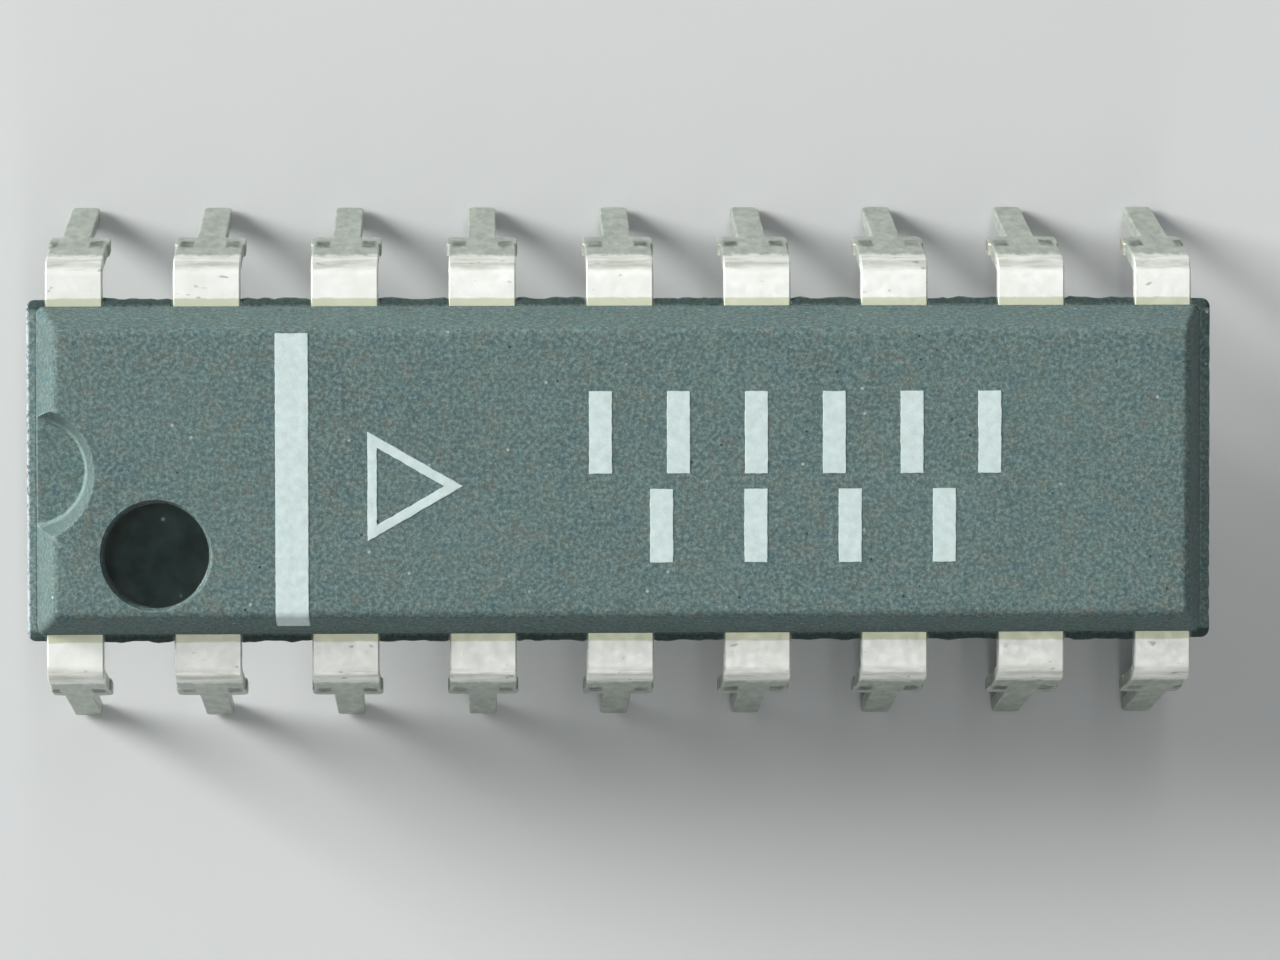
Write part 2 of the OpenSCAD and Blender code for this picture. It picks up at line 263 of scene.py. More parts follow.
def moulded_epoxy():
    """Silica-filled epoxy from a spark-eroded mould: matt blue-green grey with a fine mineral grain."""
    material, tree, shader = new_material("moulded_filled_epoxy")
    # The compound flows and cures unevenly over about 2 mm, which gives faint clouds
    clouds = noise_at(tree, 2.2)
    # Clumps of filler a quarter of a millimetre wide lean to blue or to brown
    clumps = noise_at(tree, 0.27, 3.0, offset=0.03)
    # The mould's craters are about 0.03 mm wide, and the grain that they give is drawn at 0.075 mm so that it shows
    grain = noise_at(tree, 0.075, 3.0)
    craters = noise_at(tree, 0.03, 1.0)
    colour = painted(tree, "#556664", "#5d706d", clouds, 0.3, 0.7)
    colour = painted(tree, colour, "#4b6870", clumps, 0.48, 0.3, 0.6)
    colour = painted(tree, colour, "#6c6c62", clumps, 0.52, 0.7, 0.75)
    colour = painted(tree, colour, "#819793", grain, 0.4, 0.68, 0.85)
    colour = painted(tree, colour, "#3b4a4c", craters, 0.45, 0.7, 0.45)
    # Single filler grains, dark and pale, are about 0.02 mm wide and are drawn at 0.05 mm so that they show
    colour = painted(tree, colour, "#37433f", specks(tree, 0.3, 0.05, 0.2))
    colour = painted(tree, colour, "#a3b3ad", specks(tree, 0.36, 0.055, 0.25, 5.0))
    place, x, aside, z = own_place(tree)
    # Squeezed-out resin on the ledges of the long sides is darker than the moulded faces
    ledge = where(tree, (z, parting_z + 0.05, parting_z + 0.01), (z, parting_z - 0.3, parting_z - 0.2),
                  (aside, half_w - 0.2, half_w - 0.16, 0.0, 0.72))
    colour = painted(tree, colour, "#27322f", ledge)
    # Edges wear pale over 0.05 mm, which also paints a highlight along their rounding
    wear_and_edge_highlight = where(tree, (edge_mask(tree, 0.05), 0.0, 1.0), (grain, 0.35, 0.6, 0.25, 0.8))
    colour = painted(tree, colour, "#97a7a2", wear_and_edge_highlight)
    # A painted highlight, pale and uneven, lies on the ledge of the notched end, which faces the low lamp
    painted_glint_at_notched_end = where(tree, (x, 0.07 - half_l, 0.03 - half_l), (z, parting_z - 0.16, parting_z - 0.04),
                   (grain, 0.35, 0.55))
    colour = painted(tree, colour, "#b4bdc4", painted_glint_at_notched_end)
    # A painted highlight: a pale line 0.1 mm wide follows the foot of the notch's wall
    from_notch = add(tree, "ShaderNodeVectorMath", {0: place, 1: (notch_x, 0, 0)}, operation="SUBTRACT")
    level = add(tree, "ShaderNodeVectorMath", {0: from_notch.outputs[0], 1: (1, 1, 0)}, operation="MULTIPLY")
    reach = add(tree, "ShaderNodeVectorMath", {0: level.outputs[0]}, operation="LENGTH").outputs["Value"]
    foot = where(tree, (reach, notch_floor_r - 0.05, notch_floor_r - 0.02),
                 (reach, notch_floor_r + 0.05, notch_floor_r + 0.02),
                 (z, parting_z + 0.02, parting_z + 0.06), (grain, 0.3, 0.5, 0.25, 0.5))
    colour = painted(tree, colour, "#98aca7", foot)
    surfaced(tree, shader, colour, grain, 0.62, 0.82, [(grain, 0.009), (craters, 0.004)])
    # The craters scatter glancing light, so hardly any of the pale floor is mirrored
    shader.inputs["Specular IOR Level"].default_value = 0.05
    return material


def polished_epoxy():
    """The same epoxy against the polished end of a mould pin: smooth, near black and glossy."""
    material, tree, shader = new_material("polished_filled_epoxy")
    # Faint clouds half a millimetre wide, filler grains of 0.02 mm, drawn at 0.07 mm so that they show, and the
    # waves that polishing leaves, 0.15 mm wide
    clouds = noise_at(tree, 0.5)
    colour = painted(tree, "#141f1c", "#1c2a27", clouds, 0.3, 0.7)
    colour = painted(tree, colour, "#52605c", specks(tree, 0.35, 0.07, 0.22))
    colour = painted(tree, colour, "#7d8c87", edge_mask(tree, 0.03))
    surfaced(tree, shader, colour, clouds, 0.1, 0.15, [(noise_at(tree, 0.15), 0.001)])
    return material


def tin_plate():
    """Matt electroplated tin on stamped sheet: off-white and soft, dull on the legs, with a few grey rubs."""
    material, tree, shader = new_material("matt_tin_plate")
    # The plate is uneven over half a millimetre, rubs are about 0.1 mm wide, and the oxide on the legs stands in
    # blotches 0.17 mm wide and three times as long
    clouds = noise_at(tree, 0.5, 3.0)
    rubs = noise_at(tree, 0.12, 1.0, (0.45, 1, 1), 0.02)
    blotches = noise_at(tree, 0.17, 3.0, (1, 1, 0.35))
    # The forming tool wipes lines of about 0.01 mm along the bend, drawn at 0.09 mm so that they show. The crystals
    # of the tin are about 0.005 mm wide, and are drawn at 0.05 mm
    streaks = noise_at(tree, 0.09, 3.0, (0.12, 1, 1), 0.04)
    crystals = noise_at(tree, 0.05)
    _, x, aside, z = own_place(tree)
    colour = painted(tree, "#eceee6", "#f6f7f2", clouds, 0.35, 0.65)
    colour = painted(tree, colour, "#8f958c", rubs, 0.7, 0.76, 0.6)
    wiped = where(tree, (z, parting_z - 0.002, parting_z - 0.03), (streaks, 0.44, 0.62, 0.0, 0.4))
    colour = painted(tree, colour, "#a7ab94", wiped)
    # Below the bend the lead is dull, with painted shade on both sides of the tip's root
    height = wavering(tree, z, blotches, 0.3, 0.7, 0.1)
    across = add(tree, "ShaderNodeMath", {0: x, 1: pitch / 2}, operation="PINGPONG").outputs[0]
    painted_shade_beside_tip = where(tree, (across, tip_w / 2 + 0.01, tip_w / 2 + 0.06), (across, lead_w / 2 - 0.03, lead_w / 2 - 0.1),
                    (height, seat_z + 1.0, seat_z + 0.8), (height, seat_z + 0.3, seat_z + 0.45),
                    (clouds, 0.35, 0.6, 0.35, 0.95))
    leg = painted(tree, "#949d94", "#bec6b9", blotches, 0.32, 0.68)
    # Painted shade darkens the leg beside the tip's root
    leg = painted(tree, leg, "#3f463f", painted_shade_beside_tip)
    colour = painted(tree, colour, leg, height, leg_top_z - 0.08, leg_top_z - 0.32)
    # A film of resin creeps out on the lead by the body
    edge_of_film = wavering(tree, aside, noise_at(tree, 0.3), 0.2, 0.8, 0.02)
    colour = painted(tree, colour, "#cfd3b9", edge_of_film, half_w + 0.04, half_w + 0.01)
    sheared = add(tree, "ShaderNodeAttribute", attribute_name="sheared").outputs["Fac"]
    colour = painted(tree, colour, "#8c8069", sheared, most=0.6)
    # Edges wear pale, which also paints a highlight along the rounded edges of the sheet
    wear_and_edge_highlight = where(tree, (edge_mask(tree, 0.06), 0.0, 1.0), (blotches, 0.3, 0.5, 0.3, 0.9))
    colour = painted(tree, colour, "#eef0ea", wear_and_edge_highlight)
    surfaced(tree, shader, colour, blotches, 0.36, 0.46, [(clouds, 0.004), (rubs, 0.003), (crystals, 0.002)])
    # The crystals scatter about half of the light as a white pigment would
    shader.inputs["Metallic"].default_value = 0.55
    return material


def marking_ink():
    """Pale epoxy ink stamped on: slightly mottled where the matt resin shows through it."""
    material, tree, shader = new_material("stamped_epoxy_ink")
    # The stamp leaves the ink thick and thin over 0.16 mm. Its pigment, a few thousandths of a millimetre, is drawn
    # at 0.05 mm so that it shows
    mottle = noise_at(tree, 0.16, 3.0)
    pigment = noise_at(tree, 0.05)
    colour = painted(tree, "#bccdca", "#cfdfdd", mottle, 0.3, 0.7)
    colour = painted(tree, colour, "#a2b3b0", pigment, 0.6, 0.75, 0.35)
    rubbed_through = where(tree, (edge_mask(tree, 0.02), 0.0, 1.0), (mottle, 0.5, 0.65, 0.0, 0.7))
    colour = painted(tree, colour, "#7c8c88", rubbed_through)
    surfaced(tree, shader, colour, mottle, 0.5, 0.65, [(mottle, 0.008), (pigment, 0.003)])
    return material


def plain_finish(name, dark, light, metallic, smooth, grain):
    """A finish with a grain of that size in millimetres, for the pieces that are sealed in the resin."""
    material, tree, shader = new_material(name)
    pattern = noise_at(tree, grain)
    colour = painted(tree, dark, light, pattern, 0.3, 0.7)
    colour = painted(tree, colour, "#f0efe8", edge_mask(tree, 0.02), most=0.6)
    surfaced(tree, shader, colour, pattern, smooth, smooth + 0.1, [(pattern, 0.02 * grain)])
    shader.inputs["Metallic"].default_value = metallic
    return material


# Body

def rounded(profile, radii, steps=4):
    """The profile with each inner corner turned into an arc of its own radius."""
    points = [profile[0]]
    for before, at, after, r in zip(profile, profile[1:], profile[2:], radii):
        back, on = (before - at).normalized(), (after - at).normalized()
        half = back.angle(on) / 2
        centre = at + (back + on).normalized() * r / math.sin(half)
        start, end = at + back * r / math.tan(half) - centre, at + on * r / math.tan(half) - centre
        for i in range(steps + 1):
            points.append(centre + start.slerp(end, i / steps) * r)
    return points + [profile[-1]]


def side_profile(foot, ledge):
    """Half outline of the body seen from one side, from the underside up to the flat top."""
    upper = foot - ledge - ink_proud
    onto_flat = 0.5
    ledge_fall, groove = 0.03, 0.02
    band_r, ledge_r, groove_r, groove_root_r = 0.03, 0.07, 0.02, 0.008
    points = [
        (foot - lower_draft - onto_flat, base_z), (foot - lower_draft, base_z), (foot, parting_z - band_h),
        (foot, parting_z - ledge_fall), (upper + groove, parting_z), (upper, parting_z - groove),
        (upper, parting_z + groove), (upper - upper_draft, top_z - ink_proud),
        (upper - upper_draft - onto_flat, top_z - ink_proud),
    ]
    return rounded([Vector(p) for p in points], [edge_r, band_r, ledge_r, groove_r, groove_root_r, groove_r, edge_r])


def ring(a, b, r, z):
    """Rounded rectangle seen from above, anticlockwise, with the same number of points at every size."""
    corner_steps, end_steps, side_steps = 6, 60, 220
    points = []
    corners = [(a - r, r - b), (a - r, b - r), (r - a, b - r), (r - a, r - b)]
    for i, (x, y) in enumerate(corners):
        for j in range(corner_steps + 1):
            angle = math.radians(90 * (i - 1 + j / corner_steps))
            points.append(Vector((x + r * math.cos(angle), y + r * math.sin(angle), z)))
        last = points[-1]
        turn = math.radians(90 * i)
        following = Vector((*corners[(i + 1) % 4], z)) + r * Vector((math.cos(turn), math.sin(turn), 0))
        steps = side_steps if i % 2 else end_steps
        points += [last.lerp(following, k / steps) for k in range(1, steps)]
    return points


def flash_at(x, side):
    """How far the squeezed-out resin stands out of the side at x: ragged between the leads, none elsewhere."""
    from_lead = abs(x / pitch - round(x / pitch)) * pitch
    if abs(x) > last_k * pitch or from_lead < lead_w / 2:
        return 0.0
    broad = noise.noise(Vector((4.3 * x, 9 * side, 0.5)))
    fine = noise.noise(Vector((17 * x, side, 2)))
    return flash_out * min(max(0.5 + 0.9 * broad + 0.3 * fine, 0.08), 1.0)


def lathe(profile, centre, steps=96):
    """A closed shape turned about an upright axis from a profile that starts and ends on that axis."""
    low, high = profile[0], profile[-1]
    verts = [Vector((centre[0], centre[1], low.y)), Vector((centre[0], centre[1], high.y))]
    inner = profile[1:-1]
    for point in inner:
        for i in range(steps):
            angle = math.tau * i / steps
            x, y = centre[0] + point.x * math.cos(angle), centre[1] + point.x * math.sin(angle)
            verts.append(Vector((x, y, point.y)))
    faces = []
    for i in range(steps):
        j = (i + 1) % steps
        faces.append((0, 2 + j, 2 + i))
        top = 2 + (len(inner) - 1) * steps
        faces.append((1, top + i, top + j))
        for row in range(len(inner) - 1):
            at = 2 + row * steps
            faces.append((at + i, at + j, at + steps + j, at + steps + i))
    return verts, faces


def block(low, high):
    verts = [Vector((x, y, z)) for z in (low[2], high[2]) for y in (low[1], high[1]) for x in (low[0], high[0])]
    faces = [(0, 2, 3, 1), (4, 5, 7, 6), (0, 1, 5, 4), (2, 6, 7, 3), (0, 4, 6, 2), (1, 3, 7, 5)]
    return verts, faces


def pit(centre, z, depth, rim_r, floor_r, up=1, rim=0.05, root=0.05):
    """A round recess with a rounded rim and a rounded floor, cut from the face at z."""
    beyond, flare = 0.5, math.radians(8)
    outside = Vector((rim_r + rim, 0)) + Vector((math.cos(flare), math.sin(flare))) * beyond
    profile = rounded([Vector((0, -depth)), Vector((floor_r, -depth)), Vector((rim_r, 0)), outside], [root, rim], 5)
    profile.append(Vector((0, outside.y)))
    flipped = [Vector((p.x, z + up * p.y)) for p in profile]
    return lathe(flipped if up > 0 else flipped[::-1], centre)


def joined(parts):
    """Several shapes as one list of points and one of faces."""
    verts, faces = [], []
    for some_verts, some_faces in parts:
        start = len(verts)
        verts += some_verts
        faces += [tuple(start + i for i in face) for face in some_faces]
    return verts, faces


def new_mesh(name, verts, faces):
    mesh = bpy.data.meshes.new(name)
    mesh.from_pydata(verts, [], faces)
    mesh.validate()
    return mesh


def body_shell():
    """The moulding with its squeezed-out resin and chipped ends, before the recesses are cut."""
    ends, sides = side_profile(half_l, ledge_end), side_profile(half_w, ledge_side)
    band_low, band_high, near_wall = parting_z - 0.2, parting_z - 0.04, 0.01
    rings = []
    for end, side in zip(ends, sides):
        # Seen from above, the corners tighten where the upper and lower edges round over
        into_edge = max(side.y - (top_z - edge_r), base_z + edge_r - side.y, 0)
        r = plan_corner_r - min(into_edge, 0.1)
        row = ring(end.x, side.x, r, end.y)
        if band_low < end.y < band_high:
            for point in row:
                # Resin is squeezed out along the sides, and the ends are chipped
                if abs(point.y) > half_w - near_wall:
                    point.y += math.copysign(flash_at(point.x, math.copysign(1, point.y)), point.y)
                if abs(point.x) > half_l - near_wall:
                    chipped = max(noise.noise(Vector((point.x, 5 * point.y, 9 * point.z))), 0)
                    point.x -= math.copysign(end_wear * chipped, point.x)
        rings.append(row)
    count = len(rings[0])
    verts = [point for row in rings for point in row]
    faces = [
        (k * count + i, k * count + (i + 1) % count, (k + 1) * count + (i + 1) % count, (k + 1) * count + i)
        for k in range(len(rings) - 1) for i in range(count)
    ]
    faces.append(tuple(range(count))[::-1])
    faces.append(tuple(range(len(verts) - count, len(verts))))
    return verts, faces


def lead_pockets():
    """The slots that the leads leave the body through, and those of the two tie bars."""
    clear, lead_reach, tie_reach = 0.004, 0.4, 0.3
    low_z, high_z = parting_z - sheet - clear, parting_z + clear
    boxes = []
    for side in (-1, 1):
        for place in range(-last_k, last_k + 1):
            outer = lead_w / 2 - (corner_trim if abs(place) == last_k else 0)
            left, right = (-outer, lead_w / 2) if place < 0 else (-lead_w / 2, outer)
            ys = sorted((side * (half_w - lead_reach), side * (half_w + lead_reach)))
            x = place * pitch
            boxes.append(block((x + left - clear, ys[0], low_z), (x + right + clear, ys[1], high_z)))
    for end in (-1, 1):
        xs = sorted((end * (half_l - tie_reach), end * (half_l + tie_reach)))
        boxes.append(block((xs[0], -tie_w / 2 - clear, low_z), (xs[1], tie_w / 2 + clear, high_z - tie_thin)))
    return boxes


def moulded_body():
    """The body, with its notch, dimple, ejector marks and the slots for the metal."""
    face_z = top_z - ink_proud
    shell = link_object("body_shell", new_mesh("body_shell", *body_shell()))
    cutters = [
        pit((notch_x, 0), face_z, face_z - parting_z - notch_floor_h, notch_top_r, notch_floor_r, root=0.06),
        pit(dimple_at, face_z, dimple_depth, dimple_r + dimple_flare, dimple_floor_r, rim=0.03, root=0.02),
    ]
    cutters += [
        pit((end * ejector_x, 0), base_z, ejector_depth, ejector_r + 0.02, ejector_r, up=-1, rim=0.02, root=0.03)
        for end in (-1, 1)
    ]
    tool = link_object("cutters", new_mesh("cutters", *joined(cutters + lead_pockets())))
    cut = shell.modifiers.new("cut", "BOOLEAN")
    cut.operation = "DIFFERENCE"
    cut.solver = "EXACT"
    cut.object = tool
    mesh = baked(shell)
    bpy.data.objects.remove(tool)
    mesh.materials.clear()
    mesh.materials.append(epoxy)
    mesh.materials.append(polished)
    for polygon in mesh.polygons:
        spot = polygon.center
        from_dimple = math.hypot(spot.x - dimple_at[0], spot.y - dimple_at[1])
        in_dimple = from_dimple < dimple_r and parting_z < spot.z < face_z - 0.9 * dimple_depth
        polygon.material_index = 1 if in_dimple else 0
    return finish_piece("moulded_resin_body", mesh, ["moulded_body"])


# Flat blanks that are then formed

def arc(centre, r, start, end, steps=6):
    """Points along an arc between two angles in degrees."""
    angles = [math.radians(start + (end - start) * i / steps) for i in range(steps + 1)]
    return [Vector((centre[0] + r * math.cos(a), centre[1] + r * math.sin(a))) for a in angles]


def inset(outline, distance):
    """An anticlockwise outline drawn in by a distance, with mitred corners."""
    moved = []
    count = len(outline)
    for i, point in enumerate(outline):
        back = (point - outline[i - 1]).normalized()
        on = (outline[(i + 1) % count] - point).normalized()
        left, right = Vector((-back.y, back.x)), Vector((-on.y, on.x))
        moved.append(point + (left + right) * distance / (1 + left.dot(right)))
    return moved


def plate(outline, rims, strips=None):
    """A plate from its outline. Each rim is an inset and a depth below the upper face. Strips give where the
    cross lines that let it bend start on the right and the left side, and how many there are."""
    rows = [[Vector((p.x, p.y, -depth)) for p in inset(outline, distance)] for distance, depth in rims]
    count = len(outline)
    verts = [point for row in rows for point in row]
    faces = []
    for k in range(len(rows) - 1):
        at = k * count
        faces += [(at + i, at + count + i, at + count + (i + 1) % count, at + (i + 1) % count) for i in range(count)]
    if strips:
        right, left, bends = strips
        parts = [[*range(left, count), *range(right + 1)], [*range(right + bends, left - bends + 1)]]
        parts += [[right + i, right + i + 1, left - i - 1, left - i] for i in range(bends)]
    else:
        parts = [[*range(count)]]
    last = count * (len(rows) - 1)
    faces += [tuple(part) for part in parts]
    faces += [tuple(last + i for i in reversed(part)) for part in parts]
    return verts, faces


def rim_steps(radius, steps=4):
    """Insets and depths that round the upper edge of a plate."""
    angles = [math.radians(90 * i / steps) for i in range(steps + 1)]
    return [(radius * (1 - math.sin(a)), radius * (1 - math.cos(a))) for a in angles]


def new_tree(name, takes, gives):
    """A tree with named inputs, and the sockets that give them."""
    tree = bpy.data.node_groups.new(name, "GeometryNodeTree")
    for label, kind in takes:
        tree.interface.new_socket(label, in_out="INPUT", socket_type="NodeSocket" + kind)
    tree.interface.new_socket(gives, in_out="OUTPUT", socket_type="NodeSocketGeometry")
    return tree, add(tree, "NodeGroupInput").outputs


def wavered(tree, shape, reach, seed):
    """Moves the points of a flat shape within its plane by smooth noise, so that its edges waver."""
    drift = add(tree, "ShaderNodeTexNoise", {"Scale": 7.0, "Detail": 2.0, "W": seed}, noise_dimensions="4D")
    centred = add(tree, "ShaderNodeVectorMath", {0: drift.outputs["Color"], 1: (0.5, 0.5, 0.5)}, operation="SUBTRACT")
    level = add(tree, "ShaderNodeVectorMath", {0: centred.outputs[0], 1: (1, 1, 0)}, operation="MULTIPLY")
    uneven = add(tree, "ShaderNodeVectorMath", {0: level.outputs[0], "Scale": reach}, operation="SCALE")
    return add(tree, "GeometryNodeSetPosition", {"Geometry": shape, "Offset": uneven.outputs[0]}).outputs[0]


def form_tree():
    """Bends a flat blank over a straight edge, turns it to its side of the body and gives it its material."""
    tree, given = new_tree("formed_over_an_edge", (
        ("Blank", "Geometry"), ("Bend line", "Float"), ("Outer radius", "Float"), ("Turn", "Float"),
        ("Place", "Vector"), ("Quarter", "Vector"), ("Mirrored", "Bool"), ("Ragged", "Float"), ("Seed", "Float"),
        ("Finish", "Material")), "Piece")
    at = add(tree, "ShaderNodeSeparateXYZ", {0: add(tree, "GeometryNodeInputPosition").outputs[0]}).outputs
    value = {"across": at["X"], "along": at["Y"], "depth": at["Z"], "line": given["Bend line"],
             "radius": given["Outer radius"], "turn": given["Turn"], "none": 0.0}
    steps = (
        ("past", "SUBTRACT", "along", "line"), ("raw angle", "DIVIDE", "past", "radius"),
        ("started", "MAXIMUM", "raw angle", "none"), ("angle", "MINIMUM", "started", "turn"),
        ("bend length", "MULTIPLY", "radius", "turn"), ("raw rest", "SUBTRACT", "past", "bend length"),
        ("rest", "MAXIMUM", "raw rest", "none"), ("sine", "SINE", "angle", "none"),
        ("cosine", "COSINE", "angle", "none"), ("own radius", "ADD", "radius", "depth"),
        ("flat part", "MINIMUM", "along", "line"), ("arc out", "MULTIPLY", "own radius", "sine"),
        ("leg out", "MULTIPLY", "rest", "cosine"), ("bent out", "ADD", "arc out", "leg out"),
        ("out", "ADD", "flat part", "bent out"), ("arc up", "MULTIPLY", "own radius", "cosine"),
        ("leg down", "MULTIPLY", "rest", "sine"), ("bent up", "SUBTRACT", "arc up", "leg down"),
        ("up", "SUBTRACT", "bent up", "radius"),
    )
    for name, operation, first, second in steps:
        node = add(tree, "ShaderNodeMath", {0: value[first], 1: value[second]}, operation=operation)
        value[name] = node.outputs[0]
    formed = add(tree, "ShaderNodeCombineXYZ", {0: value["across"], 1: value["out"], 2: value["up"]}).outputs[0]
    blank = wavered(tree, given["Blank"], given["Ragged"], given["Seed"])
    bent = add(tree, "GeometryNodeSetPosition", {"Geometry": blank, "Position": formed})
    turned = add(tree, "GeometryNodeTransform", {
        "Geometry": bent.outputs[0], "Translation": given["Place"], "Scale": given["Quarter"]})
    flipped = add(tree, "GeometryNodeFlipFaces", {"Mesh": turned.outputs[0], "Selection": given["Mirrored"]})
    whole = add(tree, "GeometryNodeRealizeInstances", {0: flipped.outputs[0]})
    finished = add(tree, "GeometryNodeSetMaterial", {"Geometry": whole.outputs[0], "Material": given["Finish"]})
    add(tree, "NodeGroupOutput", {0: finished.outputs[0]})
    return tree


def run_tree(tree, name, verts, faces, values, attributes=()):
    """Runs a node tree on a mesh with these input values, and returns the plain mesh that it makes."""
    mesh = new_mesh(name, verts, faces)
    for key, numbers in dict(attributes).items():
        mesh.attributes.new(key, "FLOAT", "POINT").data.foreach_set("value", numbers)
    obj = link_object(name, mesh)
    modifier = obj.modifiers.new("tree", "NODES")
    modifier.node_group = tree
    for item in tree.interface.items_tree:
        if item.in_out == "INPUT" and item.name in values:
            modifier[item.identifier] = values[item.name]
    return baked(obj)


# Leads

def finger_route(k):
    """Middle line of a lead's inner finger, from its root towards the die, as in the frame."""
    start = root_y + finger_w / 2
    x = k * pitch
    if k < 2:
        end_y = finger_end.y
    else:
        end_y = first_lane_y - finger_w / 2 + (last_k - k) * lane_step
    if k == 0:
        return [Vector((x, start)), Vector((x, end_y))]
    route = [Vector((x, start)), Vector((x - (start - end_y), end_y))]
    return route + [Vector((finger_end.x, end_y))] if k > 1 else route


def both_sides(route, w):
    """The two edges of a strip of width w along a route, on its right and on its left."""
    edges = ([], [])
    for i, point in enumerate(route):
        back = (point - route[i - 1]).normalized() if i else (route[1] - route[0]).normalized()
        on = (route[i + 1] - point).normalized() if i < len(route) - 1 else back
        a, b = Vector((back.y, -back.x)), Vector((on.y, -on.x))
        off = (a + b) / (1 + a.dot(b)) * w / 2
        edges[0].append(point + off)
        edges[1].append(point - off)
    return edges


def on_line(a, b, y):
    """The point at y on the line through two points."""
    return a.lerp(b, (y - a.y) / (b.y - a.y))


# Lengths along the flat blank, and the height at which the leg's straight part starts
leg_start = bend_y + bend_out_r * (math.pi / 2 - lean)
leg_top_z = parting_z - bend_out_r * (1 - math.sin(lean))
shoulder_at = leg_start + (leg_top_z - seat_z) / math.cos(lean)
tip_at = leg_start + (leg_top_z - sheet * math.sin(lean)) / math.cos(lean)
bend_strips = 16


def leg_side(w):
    """One side of the outline from the bend to the tip: the stub of the dam bar, the shoulder and the tip."""
    bend = [Vector((w, bend_y + (leg_start - bend_y) * i / bend_strips)) for i in range(bend_strips + 1)]
    stub_at = shoulder_at - stub_len
    return bend + [Vector((w, stub_at)), Vector((w + stub_out, stub_at + stub_out))] + arc(
        (w + stub_out - shoulder_r, shoulder_at - shoulder_r), shoulder_r, 0, 90
    ) + [Vector((tip_w / 2, shoulder_at))] + arc((tip_w / 2 - tip_r, tip_at - tip_r), tip_r, 0, 90)


def lead_blank(k):
    """The flat blank of lead k, counted from the middle of its row, in the quarter where x and y are positive."""
    x = k * pitch
    outer = lead_w / 2 - (corner_trim if k == last_k else 0)
    right_edge, left_edge = both_sides(finger_route(k), finger_w)
    # The route runs inwards, so its left edge is on the outline's right
    finger_right = left_edge[:0:-1] + [on_line(left_edge[0], left_edge[1], root_y)]
    finger_left = [on_line(right_edge[0], right_edge[1], root_y)] + right_edge[1:]
    right = [Vector((x + outer, root_y))] + [Vector((x + p.x, p.y)) for p in leg_side(outer)]
    left = [Vector((x - p.x, p.y)) for p in reversed(leg_side(lead_w / 2))] + [Vector((x - lead_w / 2, root_y))]
    outline = finger_right + right + left + finger_left
    first_bend = len(finger_right) + 1
    last_bend = len(finger_right) + len(right) + len(left) - 2
    return outline, (first_bend, last_bend, bend_strips)


def stamped_leads(tree):
    """The eighteen leads, each stamped with its own finger, formed over the bend and marked where it was sheared."""
    rims = rim_steps(die_roll) + [(0, sheet - burr_side), (burr_side, sheet)]
    for n in range(1, 2 * leads_per_row + 1):
        side = -1 if n <= leads_per_row else 1
        place = n - 1 - last_k if side < 0 else 2 * leads_per_row - n - last_k
        k, hand = abs(place), -1 if place < 0 else 1
        outline, strips = lead_blank(k)
        verts, faces = plate(outline, rims, strips)
        stub_edge = lead_w / 2 + stub_out * 0.6
        sheared = [
            1.0 if abs(v.x - k * pitch) > stub_edge - (corner_trim if k == last_k and v.x > k * pitch else 0)
            and leg_start < v.y < shoulder_at - shoulder_r and v.z < -die_roll / 2 else 0.0
            for v in verts
        ]
        name = f"tinned_lead_{n}"
        mesh = run_tree(tree, name, verts, faces, {
            "Bend line": bend_y, "Outer radius": bend_out_r, "Turn": math.pi / 2 - lean,
            "Place": (0, 0, parting_z), "Quarter": (hand, side, 1), "Mirrored": hand * side < 0,
            "Ragged": 0.0, "Seed": float(n), "Finish": tin,
        }, {"sheared": sheared})
        finish_piece(name, mesh, [f"lead_{n}"])


# Ink

def dense(corners, step=0.035):
    """An outline with a point at every step along its sides, so that its edge can waver."""
    points = []
    for i, corner in enumerate(corners):
        following = corners[(i + 1) % len(corners)]
        count = max(1, round((following - corner).length / step))
        points += [corner.lerp(following, j / count) for j in range(count)]
    return points


# Insets and depths of the edge of an ink film
film_rims = [(0.008, 0), (0.0, 0.005), (0.0, ink_deep)]


def index_stripe(tree):
    """The stripe: a film that lies on the flat and folds over the near edge, down the slope."""
    slope = math.atan(upper_draft / (top_z - parting_z))
    turn = math.pi / 2 - slope
    half_stripe = (stripe_high.x - stripe_low.x) / 2
    middle = (stripe_high.x + stripe_low.x) / 2
    bend_line = half_w - ledge_side - upper_draft - edge_r * math.tan(turn / 2)
    fold_end = bend_line + edge_r * turn
    drop = top_z - stripe_low.z - edge_r * (1 - math.cos(turn))
    end = fold_end + drop / math.cos(slope)
    start = -stripe_high.y
    folds = 12
    step = 0.04

    def run(a, b):
        count = round((b - a) / step)
        return [a + (b - a) * i / count for i in range(count)]

    ys = run(start, bend_line) + [bend_line + (fold_end - bend_line) * i / folds for i in range(folds)]
    ys += run(fold_end, end) + [end]
    ends = [Vector((half_stripe - step * i, end)) for i in range(1, round(2 * half_stripe / step))]
    outline = [Vector((half_stripe, y)) for y in ys] + ends + [Vector((-half_stripe, y)) for y in reversed(ys)]
    outline += [Vector((-p.x, start)) for p in ends]
    first = len(run(start, bend_line))
    strips = (first, 2 * len(ys) + len(ends) - 1 - first, folds)
    verts, faces = plate(outline, film_rims, strips)
    mesh = run_tree(tree, "index_stripe_film", verts, faces, {
        "Bend line": bend_line, "Outer radius": edge_r, "Turn": turn, "Place": (middle, 0, top_z),
        "Quarter": (1, -1, 1), "Mirrored": True, "Ragged": 0.03, "Seed": 2.0, "Finish": ink,
    })
    finish_piece("index_stripe_ink", mesh, ["index_stripe"])


